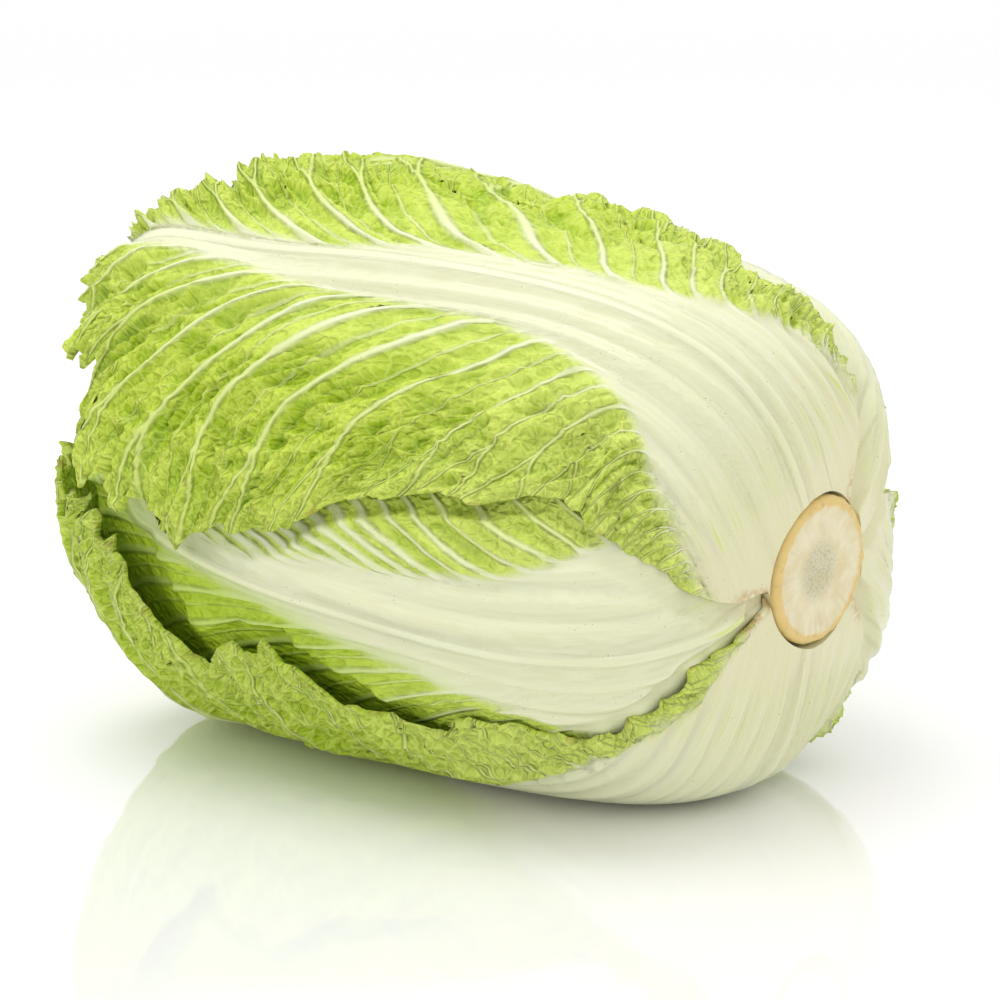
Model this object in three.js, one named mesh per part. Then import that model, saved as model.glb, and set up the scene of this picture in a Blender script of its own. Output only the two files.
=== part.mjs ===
import * as THREE from "three";

// A Chinese cabbage that lies on its side. Lengths are in millimetres and angles in degrees.
// +X runs along the head to the cut stem, +Z is up, and -Y is the front of the head.

// The head is a barrel, wider toward the leaf tips and flatter at both ends, and its leafy end
// bends up and to the front
const HEAD_HALF_LENGTH = 105.3;
const HEAD_ROUNDNESS = 85.6;
const END_FLATTENING = 0.088;
const TAPER = -0.064;
const TIP_SIDE_SHIFT = -0.24;
const TIP_UP_SHIFT = 0.3;

// It lies with its narrower stem end lower, and its own weight flattens it a little below
const HEAD_PITCH = 3.6;
const FLOOR_BELOW_AXIS = 65.6;
const SETTLING = 10;
const HEAD_DROP = 0.3;

// The stem leaves the barrel a little off its middle, and is cut across
const STEM_SIDE_SHIFT = 0.088;
const STEM_DOWN_SHIFT = 0.015;
const STEM_Y = 7.6;
const STEM_Z = 1.2;
const STEM_RADIUS = 18.8;
const STEM_FACE_X = 97.6;
const STEM_INNER_X = 58;
const STEM_ANGLE = 11.9;

// Leaves: how thick they are, and how loosely they lie on each other
const BLADE_THICKNESS = 1;
const LEAF_GAP = 2.6;
const INNER_LEAF_GAP = 3.4;
const INNER_RIB_SHARE = 0.55;
const RIB_THICKNESS = [
  [0, 8], [35, 7.2], [60, 5.6], [80, 3.8], [100, 2.2], [125, 1.2], [150, 0.5], [200, 0.3],
];
const RIB_HALF_WIDTH = [
  [0, 12], [20, 14.5], [52, 14.5], [72, 11], [88, 7], [100, 4.4], [115, 2.8], [140, 1.7], [200, 1.2],
];
const RIB_BULGE = 1.8;

// Side veins start square to the midrib, and lean further toward the tip as they go
const VEIN_START = 47;
const VEIN_LEAN = 0.0243;
const VEIN_LEAN_END = 97;
const VEIN_SPACING = 7;
const FIRST_VEIN = 52;
const VEIN_HEIGHT = 1.3;

// The margin bulges a little between veins, and swings in and out in broader lobes
const BULGES = 0.022;
const LOBES = 0.03;
const LOBE_SPACING = 3 * VEIN_SPACING;

// How far past a leaf's edge the leaves under it stay pressed down
const PRESSED_FADE = 5;
const INNER_PRESSED_FADE = 10;
const HEART_PRESSED_FADE = 18;

// Each leaf: where it grows round the stem (0 is up, 90 the front), how far along the head its
// tip reaches, how far its midrib drifts sideways, and how wide it is at places along it, on the
// side ahead of its midrib in that turn and on the side behind. They are listed from the outside
// in, each about 137.5 degrees on from the last.
const WIDE = [[0, 9], [11.4, 11], [20, 17.5], [32, 26], [47, 34], [60, 46], [75, 54], [90, 56]];
const NARROW = [[0, 7], [11.4, 8], [20, 12], [30, 16], [47, 25], [60, 36], [75, 46], [90, 52]];
const FRONT_TOP = [
  [0, 9], [12.4, 11.4], [20, 18.3], [28, 25.4], [36, 31], [42, 33], [48, 34], [55, 44], [60, 52],
  [63, 61], [70, 74], [74, 65], [80, 92], [86, 80], [90, 70], [99, 43], [105, 30], [126, 26],
];
const FAR_TOP = [
  [0, 9], [12.4, 11.4], [23, 19.2], [28, 23.6], [34, 29], [38, 32.6], [41, 35], [50, 38.5],
  [55, 48], [64, 52], [69, 53], [73, 45], [80, 36], [88, 32.5], [94, 24], [108, 15], [125, 7], [135, 3.5],
];
const FRONT_LOW = [
  [0, 9], [12.4, 11.2], [16, 14.3], [22, 19.5], [27, 25], [35, 32.3], [41, 38], [48, 48], [51, 51.5],
  [57, 51.5], [62, 58], [65, 66], [68, 74], [72, 72], [78, 56], [82, 67], [90, 84], [96, 77], [106, 50], [117, 48],
];
const LEAVES = [
  { name: "outer_leaf_1", turn: 27.5, tip: 146, drift: 9, ruffle: 2.6, ahead: FRONT_TOP, behind: FAR_TOP },
  { name: "outer_leaf_2", turn: 171, tip: 166, drift: 0, ruffle: 2.4, ahead: WIDE, behind: FRONT_LOW },
  { name: "outer_leaf_3", turn: -32, tip: 148, drift: -4, ruffle: 1.6, ahead: WIDE, behind: NARROW },
  { name: "outer_leaf_4", turn: 99.7, tip: 156, drift: -3, ruffle: 1.5, ahead: WIDE, behind: WIDE },
  { name: "outer_leaf_5", turn: 234, tip: 160, drift: 4, ruffle: 1.8, ahead: WIDE, behind: WIDE },
  { name: "inner_leaf_1", turn: 12, tip: 172, drift: 3, ruffle: 2.6, ahead: WIDE, behind: WIDE },
  { name: "inner_leaf_2", turn: 151, tip: 178, drift: -3, ruffle: 2.6, ahead: WIDE, behind: WIDE },
  { name: "inner_leaf_3", turn: 288, tip: 184, drift: 2, ruffle: 2.4, ahead: WIDE, behind: WIDE },
  { name: "inner_leaf_4", turn: 66, tip: 190, drift: 0, ruffle: 2.2, ahead: WIDE, behind: WIDE },
  { name: "inner_leaf_5", turn: 204, tip: 190, drift: 0, ruffle: 2, ahead: WIDE, behind: WIDE },
];
const OUTER_LEAVES = 5;

// The front margin of the leaf that the head lies on stands away from the head near its tip
const FLARED_LEAF = "outer_leaf_2";
const FLARE = 4;

// The tip of the outermost leaf stands away from the head too
const FREE_TIP_LEAF = "outer_leaf_1";
const FREE_TIP_LIFT = 10;

const { degToRad, radToDeg, clamp, lerp } = THREE.MathUtils;
const sind = (angle) => Math.sin(degToRad(angle));
const cosd = (angle) => Math.cos(degToRad(angle));

// A smooth step from 0 to 1
function ease(x) {
  const t = clamp(x, 0, 1);
  return t * t * (3 - 2 * t);
}

// The value at x of a list of [place, value] pairs, going straight on past its ends
function along(list, x) {
  let i = 0;
  while (i < list.length - 2 && x > list[i + 1][0]) {
    i += 1;
  }
  const [[x0, y0], [x1, y1]] = [list[i], list[i + 1]];
  return y0 + ((y1 - y0) * (x - x0)) / (x1 - x0);
}

// How much a side vein leans toward the tip, for the place on the midrib that it starts from
function lean(start) {
  return VEIN_LEAN * clamp(start - VEIN_START, 0, VEIN_LEAN_END - VEIN_START);
}

// The start on the midrib of the vein that passes a place on the leaf
function veinStart(a, b) {
  if (a <= VEIN_START) {
    return a;
  }
  const start = (a + VEIN_LEAN * VEIN_START * b) / (1 + VEIN_LEAN * b);
  return start <= VEIN_LEAN_END ? start : a - lean(VEIN_LEAN_END) * b;
}

// The midrib's sideways drift at a place along the leaf
function drift(leaf, a) {
  return leaf.drift * ease((a - 60) / 65);
}

// The direction from the middle of the head to a place on a leaf
function directionOf(leaf, a, b) {
  const side = b + drift(leaf, a);
  const out = cosd(side) * sind(a);
  return new THREE.Vector3(
    cosd(side) * cosd(a),
    -out * sind(leaf.turn) - sind(side) * cosd(leaf.turn),
    out * cosd(leaf.turn) - sind(side) * sind(leaf.turn),
  );
}

// The place on a leaf that lies in a direction from the middle of the head
function placeOn(leaf, d) {
  const out = -d.y * sind(leaf.turn) + d.z * cosd(leaf.turn);
  const side = -d.y * cosd(leaf.turn) - d.z * sind(leaf.turn);
  let a = radToDeg(Math.atan2(out, d.x));
  if (a < -90) {
    a += 360;
  }
  const b = radToDeg(Math.asin(clamp(side, -1, 1))) - drift(leaf, a);
  const start = veinStart(a, Math.abs(b));
  const edge = along(b > 0 ? leaf.edgeAhead : leaf.edgeBehind, start);
  return { a, b: Math.abs(b), start, edge, side: Math.sign(b) };
}

// The width of a leaf on one side: it is cut off across its tip, and waved along its blade
function widthAt(leaf, side, start) {
  const list = side > 0 ? leaf.ahead : leaf.behind;
  const broad = along(list, Math.min(start, list[list.length - 1][0]));
  const toTip = Math.max(0.85 * (leaf.tip - start), 0);
  const width = (broad * toTip) / Math.cbrt(broad ** 3 + toTip ** 3);
  const bulges = BULGES * Math.cos((2 * Math.PI * (start - FIRST_VEIN)) / VEIN_SPACING);
  const lobes = LOBES * Math.cos((2 * Math.PI * start) / LOBE_SPACING + leaf.turn + side);
  return width * (1 + (bulges + lobes) * ease((start - 45) / 10) * ease((leaf.tip - start) / 40));
}

// A row of the leaf bends round the stem near its base, and follows a vein further on
function alongRow(start, b) {
  const arc = Math.asin(Math.min(sind(b) / sind(start), 0.97));
  const round = radToDeg(Math.atan(Math.tan(degToRad(Math.min(start, 60))) * Math.cos(arc)));
  const bow = start < VEIN_START ? (start - round) * ease((VEIN_START - start) / 30) : 0;
  return start - bow + lean(start) * b;
}

// The edge of a leaf as a list of [vein start, width] pairs, which runs on past its two ends
function edgeOf(leaf, side) {
  const list = [];
  for (let start = STEM_ANGLE; start < leaf.tip; start += 3) {
    const width = widthAt(leaf, side, start);
    list.push([veinStart(alongRow(start, width), width), width]);
  }
  list.unshift([list[0][0] - 10, list[0][1] - 22]);
  list.push([leaf.tip, 0], [leaf.tip + 10, -12]);
  return list;
}

for (const leaf of LEAVES) {
  leaf.edgeAhead = edgeOf(leaf, 1);
  leaf.edgeBehind = edgeOf(leaf, -1);
}

// How much of a rib's bulge there is at a place on the leaf: 1 at the midrib, 0 off the rib
function ribShare(place, spread, most = 180) {
  const x = place.b / Math.min(spread * along(RIB_HALF_WIDTH, place.start), most);
  return x < 1 ? (1 - x * x) ** 2 : 0;
}

// A rib thins out to the blade's thickness, at the latest on the leaf's edge
function thickness(leaf, place) {
  const share = leaf.name.includes("outer") ? 1 : INNER_RIB_SHARE;
  const rib = ribShare(place, 1.3, Math.max(place.edge, 1));
  return BLADE_THICKNESS + share * along(RIB_THICKNESS, place.start) * rib;
}

// 1 where a leaf lies over a place and a little way past its edge, then falling to 0
function cover(place, fade) {
  const reach = (fade > PRESSED_FADE ? 5 : 2.2) + 11 * ease((34 - place.start) / 12);
  return ease((place.edge - place.b + reach + fade) / fade);
}

// The swelling that all the layers share: the broad ribs of the outer leaves push them out, and
// the floor pushes them in
function swelling(d) {
  let total = 0;
  for (const leaf of LEAVES.slice(0, OUTER_LEAVES)) {
    const place = placeOn(leaf, d);
    total += RIB_BULGE * ribShare(place, 1.5) * ease((105 - place.a) / 40) * ease((place.a - 8) / 20);
  }
  const above = lay(headPoint(d, total)).z + FLOOR_BELOW_AXIS;
  const sunk = SETTLING - Math.min(above, SETTLING);
  const pushed = above > -SETTLING ? sunk ** 2 / (4 * SETTLING) : -above;
  return { swell: total - pushed, clear: ease((above - 1) / 12) };
}

// How far below the head's surface the outer face of a layer lies, and how much of it is in view
function under(layer, d, fade) {
  let depth = 0;
  let view = 1;
  for (const leaf of LEAVES.slice(0, layer)) {
    const place = placeOn(leaf, d);
    const covered = cover(place, fade);
    const gap = leaf.name.includes("outer") ? LEAF_GAP : INNER_LEAF_GAP;
    depth += covered * (thickness(leaf, place) + gap);
    view *= (1 - covered) ** 3;
  }
  return { depth, view };
}

// The waves of a leaf that stand clear of the layers below, and the ridges on its outer face
function relief(leaf, place) {
  const { start, b, edge } = place;
  const out = clamp(b / Math.max(edge, 1), 0, 1.1);
  const blade = ease((b / along(RIB_HALF_WIDTH, start) - 0.8) / 0.7);
  const wave = Math.cos((2 * Math.PI * (start - FIRST_VEIN)) / VEIN_SPACING);
  const slow = Math.cos((2 * Math.PI * start) / LOBE_SPACING + leaf.turn + place.side);
  const tips = ease((start - 45) / 15);
  let lift = leaf.ruffle * ease((out - 0.55) / 0.45) * (0.55 + 0.45 * slow) * tips;
  if (leaf.name === FLARED_LEAF && place.side < 0) {
    lift += FLARE * ease((place.a - 95) / 50) * ease((out - 0.3) / 0.7);
  }
  if (leaf.name === FREE_TIP_LEAF) {
    lift += FREE_TIP_LIFT * ease((place.a - 102) / 40);
  }
  const ridge = VEIN_HEIGHT * (0.5 + 0.5 * wave) * blade * ease((start - 45) / 8);
  const crown = RIB_BULGE * ribShare(place, 1.1) * ease((115 - start) / 30);
  return { lift, ridge: ridge + crown };
}

// A point of the head in a direction, at a height above its surface
function headPoint(d, height) {
  const near = Math.max(d.x, 0) ** 2;
  const far = Math.max(-d.x, 0) ** 2;
  const w = new THREE.Vector3(
    d.x,
    d.y + STEM_SIDE_SHIFT * near + TIP_SIDE_SHIFT * far,
    d.z + STEM_DOWN_SHIFT * near + TIP_UP_SHIFT * far,
  ).normalize();
  const c = w.x;
  const third = 4 * c * c * c - 3 * c;
  const across = HEAD_ROUNDNESS * (1 + 2 * TAPER * c + END_FLATTENING * (4 * c * c - 1));
  const point = new THREE.Vector3(
    HEAD_HALF_LENGTH * (c - END_FLATTENING * third),
    across * w.y,
    across * w.z,
  );
  const flat = HEAD_HALF_LENGTH * (1 - 3 * END_FLATTENING * (4 * c * c - 1));
  const end = HEAD_ROUNDNESS * (c + 2 * TAPER * (2 * c * c - 1) + 3 * END_FLATTENING * third);
  const normal = new THREE.Vector3(end, flat * w.y, flat * w.z).normalize();
  return point.addScaledVector(normal, height);
}

// The head lies with its stem end a little lower
function lay(point) {
  return point.applyAxisAngle(new THREE.Vector3(0, 1, 0), degToRad(HEAD_PITCH));
}

// The rows of a leaf: round the stem, then on the crest and in the hollow of each side vein
function rowsOf(leaf, step) {
  const rows = [STEM_ANGLE, 15, 19, 25, 33, 41];
  for (let start = Math.max(FIRST_VEIN - step, 48); start < leaf.tip - step * 0.7; start += step) {
    rows.push(start);
  }
  return rows;
}

// The columns of a leaf on one side: two across the rib, then evenly across the blade to the edge
function columnAt(leaf, side, start, column, columns) {
  const width = widthAt(leaf, side, start);
  const rib = Math.min(along(RIB_HALF_WIDTH, start), width * 0.7);
  const first = Math.max(rib / 2, Math.min(rib, width * 0.1));
  const second = Math.max(rib, width * 0.28);
  if (column < 2) {
    return column * first;
  }
  return lerp(second, width, (column - 2) / (columns - 2));
}

// The closed surface of a leaf: its two faces, split alike, and the edge between them
function leafGeometry(index, step, halfColumns) {
  const leaf = LEAVES[index];
  const rows = rowsOf(leaf, step);
  const columns = 2 * halfColumns;
  const positions = [];
  const indices = [];
  const addPair = (a, b) => {
    const d = directionOf(leaf, a, b);
    const place = placeOn(leaf, d);
    const { depth, view } = under(index, d, index < OUTER_LEAVES ? PRESSED_FADE : INNER_PRESSED_FADE);
    const { lift, ridge } = relief(leaf, place);
    const { swell, clear } = swelling(d);
    const top = swell - depth + clear * view * lift;
    const bottom = top - thickness(leaf, place);
    positions.push(lay(headPoint(d, top + clear * view * ridge)), lay(headPoint(d, bottom)));
  };
  for (const start of rows) {
    for (let column = 0; column <= columns; column += 1) {
      const side = column < halfColumns ? -1 : 1;
      const b = columnAt(leaf, side, start, Math.abs(column - halfColumns), halfColumns);
      addPair(alongRow(start, b), side * b);
    }
  }
  addPair(leaf.tip, 0);
  const outer = (row, column) => 2 * (row * (columns + 1) + column);
  const tip = 2 * rows.length * (columns + 1);
  const addQuad = (p, q, r, s) => indices.push(p, q, r, p, r, s);
  for (let row = 0; row < rows.length - 1; row += 1) {
    for (let column = 0; column < columns; column += 1) {
      const [p, q] = [outer(row, column), outer(row + 1, column)];
      const [r, s] = [outer(row + 1, column + 1), outer(row, column + 1)];
      addQuad(p, q, r, s);
      indices.push(p + 1, r + 1, q + 1, p + 1, s + 1, r + 1);
    }
    const [p, q] = [outer(row, 0), outer(row + 1, 0)];
    addQuad(p, p + 1, q + 1, q);
    const [r, s] = [outer(row, columns), outer(row + 1, columns)];
    addQuad(r, s, s + 1, r + 1);
  }
  const last = rows.length - 1;
  for (let column = 0; column < columns; column += 1) {
    const [p, s] = [outer(0, column), outer(0, column + 1)];
    addQuad(p, s, s + 1, p + 1);
    const [q, r] = [outer(last, column), outer(last, column + 1)];
    indices.push(q, tip, r, q + 1, r + 1, tip + 1);
  }
  const [q, r] = [outer(last, 0), outer(last, columns)];
  addQuad(q, q + 1, tip + 1, tip);
  addQuad(tip, tip + 1, r + 1, r);
  return { positions, indices };
}

// The dense heart: the innermost leaves in one bud, whose folded tips stand out of it
const HEART_TIPS = [
  { turn: 342, tip: 200, drift: 0, ahead: WIDE, behind: WIDE },
  { turn: 120, tip: 204, drift: 0, ahead: WIDE, behind: WIDE },
  { turn: 255, tip: 176, drift: 0, ahead: WIDE, behind: WIDE },
];
const HEART_TIP_HEIGHT = 1.8;
const HEART_CLEARANCE = 3.6;

function heartGeometry(rings, spokes) {
  for (const leaf of HEART_TIPS) {
    leaf.edgeAhead = edgeOf(leaf, 1);
    leaf.edgeBehind = edgeOf(leaf, -1);
  }
  const positions = [];
  const indices = [];
  const addPoint = (polar, round) => {
    const d = new THREE.Vector3(cosd(polar), -sind(polar) * sind(round), sind(polar) * cosd(round));
    const { depth } = under(LEAVES.length, d, HEART_PRESSED_FADE);
    let height = swelling(d).swell - depth - HEART_CLEARANCE;
    for (const leaf of HEART_TIPS) {
      const place = placeOn(leaf, d);
      height += HEART_TIP_HEIGHT * ease((place.edge - place.b) / 4 + 0.5) * ease((polar - 100) / 30);
    }
    const point = headPoint(d, height);
    point.x = Math.min(point.x, STEM_INNER_X - 0.4);
    positions.push(lay(point));
  };
  addPoint(0, 0);
  for (let ring = 1; ring < rings; ring += 1) {
    for (let spoke = 0; spoke < spokes; spoke += 1) {
      addPoint((180 * ring) / rings, (360 * spoke) / spokes);
    }
  }
  addPoint(180, 0);
  const at = (ring, spoke) => 1 + (ring - 1) * spokes + (spoke % spokes);
  for (let spoke = 0; spoke < spokes; spoke += 1) {
    indices.push(0, at(1, spoke), at(1, spoke + 1));
    for (let ring = 1; ring < rings - 1; ring += 1) {
      const [p, q] = [at(ring, spoke), at(ring + 1, spoke)];
      const [r, s] = [at(ring + 1, spoke + 1), at(ring, spoke + 1)];
      indices.push(p, q, r, p, r, s);
    }
    indices.push(at(rings - 1, spoke), positions.length - 1, at(rings - 1, spoke + 1));
  }
  return { positions, indices };
}

// The cut stem: a short round core with a worn rim and a slightly sunk middle
function stemGeometry(spokes) {
  const profile = [
    [STEM_FACE_X - 1, 5],
    [STEM_FACE_X - 0.4, 10],
    [STEM_FACE_X, 15.8],
    [STEM_FACE_X - 0.3, 17.7],
    [STEM_FACE_X - 1.4, STEM_RADIUS],
    [STEM_FACE_X - 12, STEM_RADIUS - 1.5],
    [STEM_INNER_X, STEM_RADIUS - 4.4],
  ];
  const positions = [lay(new THREE.Vector3(STEM_FACE_X - 1.3, STEM_Y, STEM_Z))];
  const indices = [];
  for (const [x, radius] of profile) {
    for (let spoke = 0; spoke < spokes; spoke += 1) {
      const round = (360 * spoke) / spokes;
      const [y, z] = [STEM_Y - radius * sind(round), STEM_Z + radius * cosd(round)];
      positions.push(lay(new THREE.Vector3(x, y, z)));
    }
  }
  positions.push(lay(new THREE.Vector3(STEM_INNER_X, STEM_Y, STEM_Z)));
  const at = (ring, spoke) => 1 + ring * spokes + (spoke % spokes);
  for (let spoke = 0; spoke < spokes; spoke += 1) {
    indices.push(0, at(0, spoke), at(0, spoke + 1));
    for (let ring = 0; ring < profile.length - 1; ring += 1) {
      const [p, q] = [at(ring, spoke), at(ring + 1, spoke)];
      const [r, s] = [at(ring + 1, spoke + 1), at(ring, spoke + 1)];
      indices.push(p, q, r, p, r, s);
    }
    indices.push(at(profile.length - 1, spoke), positions.length - 1, at(profile.length - 1, spoke + 1));
  }
  return { positions, indices };
}

const pieces = new Map();
LEAVES.forEach((leaf, index) => {
  const step = index < OUTER_LEAVES ? VEIN_SPACING / 2 : VEIN_SPACING;
  pieces.set(leaf.name, leafGeometry(index, step, 6));
});
pieces.set("heart", heartGeometry(20, 28));
pieces.set("cut_stem", stemGeometry(32));

// The head rests on a small flat spot, and the middle of its box stands over the origin
const box = new THREE.Box3();
for (const { positions } of pieces.values()) {
  positions.forEach((point) => box.expandByPoint(point));
}
const floor = HEAD_DROP - FLOOR_BELOW_AXIS;
const middle = box.getCenter(new THREE.Vector3());

// White ribs under fresh green blades, paler toward the heart, and a creamy cut through the stem
const FINISHES = {
  outer: new THREE.MeshStandardMaterial({ color: "#bfd58a", roughness: 0.45 }),
  inner: new THREE.MeshStandardMaterial({ color: "#d3de9c", roughness: 0.5 }),
  heart: new THREE.MeshStandardMaterial({ color: "#e3e6ae", roughness: 0.5 }),
  cut: new THREE.MeshStandardMaterial({ color: "#ece2cd", roughness: 0.65 }),
};

const cabbage = new THREE.Group();
for (const [name, { positions, indices }] of pieces) {
  positions.forEach((point, i) => {
    const lowest = name.includes("leaf") && i % 2 ? BLADE_THICKNESS : 0;
    point.set(point.x - middle.x, point.y - middle.y, Math.max(point.z - floor, lowest));
  });
  const geometry = new THREE.BufferGeometry().setFromPoints(positions);
  geometry.setIndex(indices);
  geometry.computeVertexNormals();
  const mesh = new THREE.Mesh(geometry, FINISHES[name.split("_")[0]]);
  mesh.name = name;
  cabbage.add(mesh);
}

export default cabbage;
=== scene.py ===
# %% [markdown]
# # A Chinese cabbage, dressed leaf by leaf
# A Chinese cabbage is a bud: broad leaves with thick white ribs grow round a short stem and close
# over each other. The frame holds the head as plain solids, one for each leaf, one for the dense
# heart and one for the cut stem. This lesson makes each of them again as a finer surface that
# keeps the solid's form, and adds what a hand would feel: ridged ribs, branching veins, blistered
# blades and frilled margins.

# %% Load the frame
import math
from dataclasses import dataclass

import bpy
import numpy as np
from mathutils import Matrix, Vector


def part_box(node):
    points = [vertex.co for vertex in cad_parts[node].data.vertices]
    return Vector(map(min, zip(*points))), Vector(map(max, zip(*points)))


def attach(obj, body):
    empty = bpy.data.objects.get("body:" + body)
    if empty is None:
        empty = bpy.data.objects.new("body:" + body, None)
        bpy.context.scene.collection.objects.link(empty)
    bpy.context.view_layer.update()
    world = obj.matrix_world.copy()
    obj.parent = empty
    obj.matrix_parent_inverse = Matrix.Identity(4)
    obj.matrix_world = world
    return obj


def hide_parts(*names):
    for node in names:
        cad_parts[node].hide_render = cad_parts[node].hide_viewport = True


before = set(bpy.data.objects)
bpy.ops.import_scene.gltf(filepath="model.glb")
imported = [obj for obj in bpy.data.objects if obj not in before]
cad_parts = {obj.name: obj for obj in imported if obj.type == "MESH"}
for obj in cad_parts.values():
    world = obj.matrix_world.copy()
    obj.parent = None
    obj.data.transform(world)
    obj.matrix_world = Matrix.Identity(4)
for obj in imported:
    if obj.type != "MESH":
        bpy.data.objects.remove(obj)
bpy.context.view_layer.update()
MM = 0.001
print("nodes:", sorted(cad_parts))

# %% [markdown]
# ## The driving dimensions
# The leaves share one growth pattern, so a few lists describe them all. A place on a leaf is
# given by two angles seen from the middle of the head, in degrees: how far it is along the head
# from the stem, and how far across from the leaf's midrib. Each list of pairs gives a value, such
# as a half width, at places along the leaf, and lengths are in millimetres. These values are the
# construction's own, so the fine leaves land where the solids are.

# %% Head, stem and leaves
HEAD_HALF_LENGTH = 105.3
HEAD_ROUNDNESS = 85.6
END_FLATTENING = 0.088
TAPER = -0.064
TIP_SIDE_SHIFT = -0.24
TIP_UP_SHIFT = 0.3
HEAD_PITCH = 3.6
FLOOR_BELOW_AXIS = 65.6
SETTLING = 10
STEM_SIDE_SHIFT = 0.088
STEM_DOWN_SHIFT = 0.015
STEM_Y = 7.6
STEM_Z = 1.2
STEM_RADIUS = 18.8
STEM_FACE_X = 97.6
STEM_INNER_X = 58
STEM_ANGLE = 11.9
BLADE_THICKNESS = 1
LEAF_GAP = 2.6
INNER_LEAF_GAP = 3.4
MARGIN_GAP = 0.25
INNER_RIB_SHARE = 0.55
RIB_THICKNESS = [
    [0, 8], [35, 7.2], [60, 5.6], [80, 3.8], [100, 2.2], [125, 1.2], [150, 0.5], [200, 0.3],
]
RIB_HALF_WIDTH = [
    [0, 12], [20, 14.5], [52, 14.4], [72, 11], [88, 7], [100, 4.4], [115, 2.8], [140, 1.7], [200, 1.2],
]
RIB_BULGE = 1.8
VEIN_START = 47
VEIN_LEAN = 0.0243
VEIN_LEAN_END = 97
VEIN_SPACING = 7
FIRST_VEIN = 52
VEIN_HEIGHT = 1.3
BULGES = 0.022
LOBES = 0.03
LOBE_SPACING = 3 * VEIN_SPACING
PRESSED_FADE = 4
INNER_PRESSED_FADE = 10
HEART_PRESSED_FADE = 18
FLARE = 4
FREE_TIP_LIFT = 10

# %% How wide the white rib is, for most leaves and for the sides that differ
WHITE = [
    [0, 26], [28, 21.8], [44, 17.3], [53, 15], [61, 12.3], [69, 10.7],
    [76, 10], [84, 8.8], [90, 6.8], [97, 4.5], [115, 2.6], [140, 1.3], [200, 0.8],
]
FRONT_TOP_WHITE = [
    [0, 23], [16, 22.6], [28, 22], [38, 19.9], [43, 17.7], [51, 14.5], [60, 11.9],
    [67, 10.1], [74, 9.2], [87, 8.7], [97, 8], [108, 5.5], [116, 4.2], [128, 3], [145, 1.2], [200, 0.8],
]
FAR_TOP_WHITE = [
    [0, 26], [24, 24.5], [31, 23.3], [36, 22], [41, 20.2], [47, 16.2], [53.5, 12.6], [59, 9],
    [66, 7.4], [81, 7], [87, 5.6], [93, 4.4], [101, 2.5], [115, 2], [145, 1], [200, 0.8],
]
FRONT_LOW_WHITE = [
    [0, 13], [8, 14], [12, 18.2], [22, 23.3], [30, 28.6], [40, 31.9], [48, 33],
    [59, 33.1], [70, 28], [82, 21], [95, 12], [110, 7], [125, 4], [145, 2], [200, 1],
]
STEEP_LOW_WHITE = [
    [0, 26], [28, 21.8], [44, 17.3], [53, 14.5], [61, 11.3], [69, 9],
    [76, 7.6], [84, 6], [90, 4.4], [97, 3], [115, 1.6], [140, 1], [200, 0.8],
]
print("most ribs are white over", 2 * WHITE[0][1], "degrees at the stem")

# %% The leaves


@dataclass
class Leaf:
    """Where a leaf grows round the stem, how far it reaches, and how wide it is on each side."""

    name: str
    turn: float
    tip: float
    drift: float
    ruffle: float
    ahead: list
    behind: list
    white_ahead: list = None
    white_behind: list = None
    edge_ahead: list = None
    edge_behind: list = None

    @property
    def outer(self):
        return self.name.startswith("outer")


WIDE = [[0, 9], [11.4, 11], [20, 17.5], [32, 26], [47, 34], [60, 46], [75, 54], [90, 56]]
NARROW = [[0, 7], [11.4, 8], [20, 12], [30, 16], [47, 25], [60, 36], [75, 46], [90, 52]]
FRONT_TOP = [
    [0, 9], [12.4, 11.4], [20, 18.3], [28, 25.4], [36, 31], [42, 33], [48, 34], [55, 44], [60, 52],
    [63, 61], [70, 74], [74, 65], [80, 92], [86, 80], [90, 70], [99, 43], [105, 30], [126, 26],
]
FAR_TOP = [
    [0, 9], [12.4, 11.4], [23, 19.2], [28, 23.6], [34, 29], [38, 32.6], [41, 35], [50, 38.5],
    [55, 48], [64, 52], [69, 53], [73, 45], [80, 36], [88, 32.5], [94, 24], [108, 15], [125, 7], [135, 3.5],
]
FRONT_LOW = [
    [0, 9], [12.4, 11.2], [16, 14.3], [22, 19.5], [27, 25], [35, 32.3], [41, 38], [48, 48], [51, 51.5],
    [57, 51.5], [62, 58], [65, 66], [68, 74], [72, 72], [78, 56], [82, 67], [90, 84], [96, 77], [106, 50],
    [117, 48],
]
LEAVES = [
    Leaf("outer_leaf_1", 27.5, 146, 9, 2.6, FRONT_TOP, FAR_TOP, FRONT_TOP_WHITE, FAR_TOP_WHITE),
    Leaf("outer_leaf_2", 171, 166, 0, 2.4, WIDE, FRONT_LOW, WHITE, FRONT_LOW_WHITE),
    Leaf("outer_leaf_3", -32, 148, -4, 1.6, WIDE, NARROW),
    Leaf("outer_leaf_4", 99.7, 156, -3, 1.5, WIDE, WIDE, STEEP_LOW_WHITE),
    Leaf("outer_leaf_5", 234, 160, 4, 1.8, WIDE, WIDE),
    Leaf("inner_leaf_1", 12, 172, 3, 2.6, WIDE, WIDE),
    Leaf("inner_leaf_2", 151, 178, -3, 2.6, WIDE, WIDE),
    Leaf("inner_leaf_3", 288, 184, 2, 2.4, WIDE, WIDE),
    Leaf("inner_leaf_4", 66, 190, 0, 2.2, WIDE, WIDE),
    Leaf("inner_leaf_5", 204, 190, 0, 2, WIDE, WIDE),
]
HEART_TIPS = [
    Leaf("first_tip", 342, 200, 0, 0, WIDE, WIDE),
    Leaf("second_tip", 120, 204, 0, 0, WIDE, WIDE),
    Leaf("third_tip", 255, 176, 0, 0, WIDE, WIDE),
]
OUTER_LEAVES = 5
FLARED_LEAF = "outer_leaf_2"
FREE_TIP_LEAF = "outer_leaf_1"
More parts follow.
